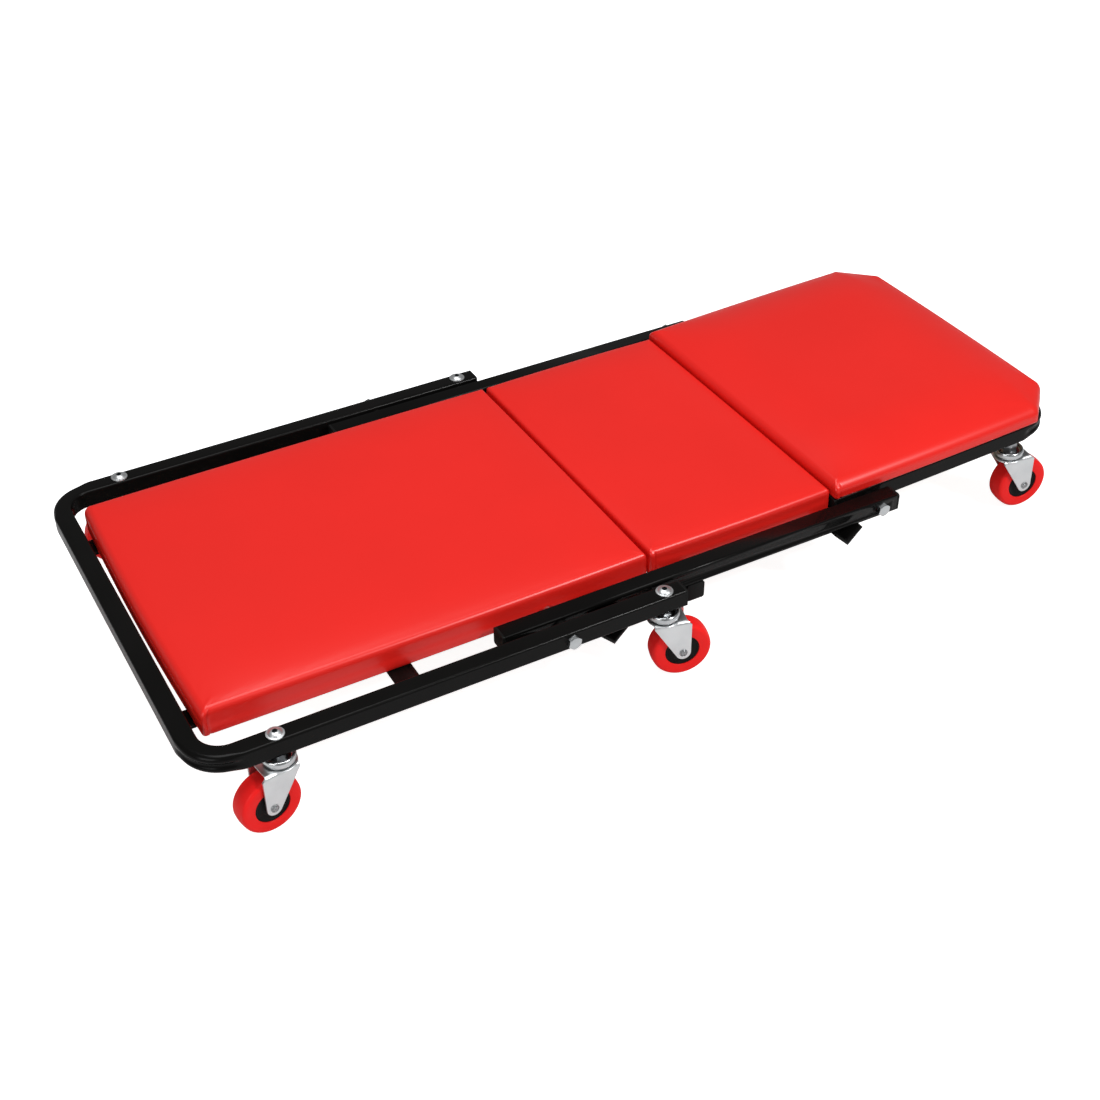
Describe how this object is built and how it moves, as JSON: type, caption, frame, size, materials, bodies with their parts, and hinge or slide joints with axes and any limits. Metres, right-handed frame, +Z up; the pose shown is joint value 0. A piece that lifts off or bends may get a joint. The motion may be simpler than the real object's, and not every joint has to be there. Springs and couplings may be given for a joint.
{
  "type": "creeper stool",
  "caption": "Padded mechanic's creeper with tubular frames hinged in a Z: rolls flat on swivel casters and folds up into a low stool.",
  "frame": {"origin": "on the floor, under the middle of the flat creeper's outer box", "axes": "+X along the creeper towards the head pad, +Z up, +Y to the left of someone facing the head end"},
  "size_m": [1.0412, 0.503, 0.1416],
  "materials": {
    "frame": "satin black powder coat",
    "zinc": "bright zinc plating",
    "steel": "ground steel balls",
    "black_plastic": "moulded black plastic",
    "tread": "smooth red polyurethane tread",
    "vinyl": "satin red vinyl, fine grain",
    "ply": "bare plywood with stapled black cloth"
  },
  "bodies": {
    "foot_frame": {"foot_rail": "frame", "foot_end_plugs": "black_plastic", "foot_cross_bar": "frame", "foot_pad_tabs": "frame", "foot_stop_angle": "frame", "foot_pad_board": "ply", "foot_pad_cushion": "vinyl", "foot_pad_screws": "zinc", "fold_1_bolts": "zinc", "fold_1_spacers": "zinc", "fold_1_nuts": "zinc", "foot_caster_bolts": "zinc", "foot_king_pins": "zinc", "foot_cups": "zinc", "foot_swivel_balls": "steel"},
    "mid_frame": {"mid_rail_near": "frame", "mid_rail_far": "frame", "mid_end_plugs": "black_plastic", "mid_cross_tube": "frame", "mid_stop_angle": "frame", "mid_pad_board": "ply", "mid_pad_cushion": "vinyl", "mid_pad_screws": "zinc", "fold_2_bolts": "zinc", "fold_2_spacers": "zinc", "fold_2_nuts": "zinc"},
    "head_frame": {"head_rail": "frame", "head_end_plugs": "black_plastic", "head_pad_board": "ply", "head_pad_cushion": "vinyl", "head_pad_screws": "zinc", "head_caster_bolts": "zinc", "head_king_pins": "zinc", "head_cups": "zinc", "head_swivel_balls": "steel"},
    "foot_near_caster": {"foot_near_fork": "zinc", "foot_near_axle": "zinc"},
    "foot_near_wheel": {"foot_near_core": "black_plastic", "foot_near_tyre": "tread"},
    "foot_far_caster": {"foot_far_fork": "zinc", "foot_far_axle": "zinc"},
    "foot_far_wheel": {"foot_far_core": "black_plastic", "foot_far_tyre": "tread"},
    "waist_near_caster": {"waist_near_fork": "zinc", "waist_near_axle": "zinc"},
    "waist_near_wheel": {"waist_near_core": "black_plastic", "waist_near_tyre": "tread"},
    "waist_far_caster": {"waist_far_fork": "zinc", "waist_far_axle": "zinc"},
    "waist_far_wheel": {"waist_far_core": "black_plastic", "waist_far_tyre": "tread"},
    "head_near_caster": {"head_near_fork": "zinc", "head_near_axle": "zinc"},
    "head_near_wheel": {"head_near_core": "black_plastic", "head_near_tyre": "tread"},
    "head_far_caster": {"head_far_fork": "zinc", "head_far_axle": "zinc"},
    "head_far_wheel": {"head_far_core": "black_plastic", "head_far_tyre": "tread"}
  },
  "joints": [
    {"name": "fold_1", "type": "hinge", "parent": "foot_frame", "child": "mid_frame", "pos_m": [-0.13963, 0, 0.093], "axis": [0, -1, 0], "range_deg": [0, 138.9]},
    {"name": "fold_2", "type": "hinge", "parent": "mid_frame", "child": "head_frame", "pos_m": [0.24887, 0, 0.093], "axis": [0, 1, 0], "range_deg": [0, 136.5]},
    {"name": "foot_near_swivel", "type": "hinge", "parent": "foot_frame", "child": "foot_near_caster", "pos_m": [-0.43863, -0.23, 0.083], "axis": [0, 0, 1], "continuous": true},
    {"name": "foot_near_spin", "type": "hinge", "parent": "foot_near_caster", "child": "foot_near_wheel", "pos_m": [-0.45603, -0.23266, 0.0315], "axis": [0.1513, -0.9885, 0], "continuous": true},
    {"name": "foot_far_swivel", "type": "hinge", "parent": "foot_frame", "child": "foot_far_caster", "pos_m": [-0.43863, 0.23, 0.083], "axis": [0, 0, 1], "continuous": true},
    {"name": "foot_far_spin", "type": "hinge", "parent": "foot_far_caster", "child": "foot_far_wheel", "pos_m": [-0.45603, 0.23266, 0.0315], "axis": [0.1513, 0.9885, 0], "continuous": true},
    {"name": "waist_near_swivel", "type": "hinge", "parent": "foot_frame", "child": "waist_near_caster", "pos_m": [-0.03113, -0.23, 0.083], "axis": [0, 0, 1], "continuous": true},
    {"name": "waist_near_spin", "type": "hinge", "parent": "waist_near_caster", "child": "waist_near_wheel", "pos_m": [-0.01406, -0.23429, 0.0315], "axis": [0.2436, 0.9699, 0], "continuous": true},
    {"name": "waist_far_swivel", "type": "hinge", "parent": "foot_frame", "child": "waist_far_caster", "pos_m": [-0.03113, 0.23, 0.083], "axis": [0, 0, 1], "continuous": true},
    {"name": "waist_far_spin", "type": "hinge", "parent": "waist_far_caster", "child": "waist_far_wheel", "pos_m": [-0.01406, 0.23429, 0.0315], "axis": [0.2436, -0.9699, 0], "continuous": true},
    {"name": "head_near_swivel", "type": "hinge", "parent": "head_frame", "child": "head_near_caster", "pos_m": [0.45658, -0.178, 0.08952], "axis": [-0.0314, 0, 0.9995], "continuous": true},
    {"name": "head_near_spin", "type": "hinge", "parent": "head_near_caster", "child": "head_near_wheel", "pos_m": [0.4759, -0.17993, 0.0315], "axis": [0.1097, 0.994, 0.0034], "continuous": true},
    {"name": "head_far_swivel", "type": "hinge", "parent": "head_frame", "child": "head_far_caster", "pos_m": [0.45658, 0.178, 0.08952], "axis": [-0.0314, 0, 0.9995], "continuous": true},
    {"name": "head_far_spin", "type": "hinge", "parent": "head_far_caster", "child": "head_far_wheel", "pos_m": [0.4759, 0.17993, 0.0315], "axis": [0.1097, -0.994, 0.0034], "continuous": true}
  ]
}
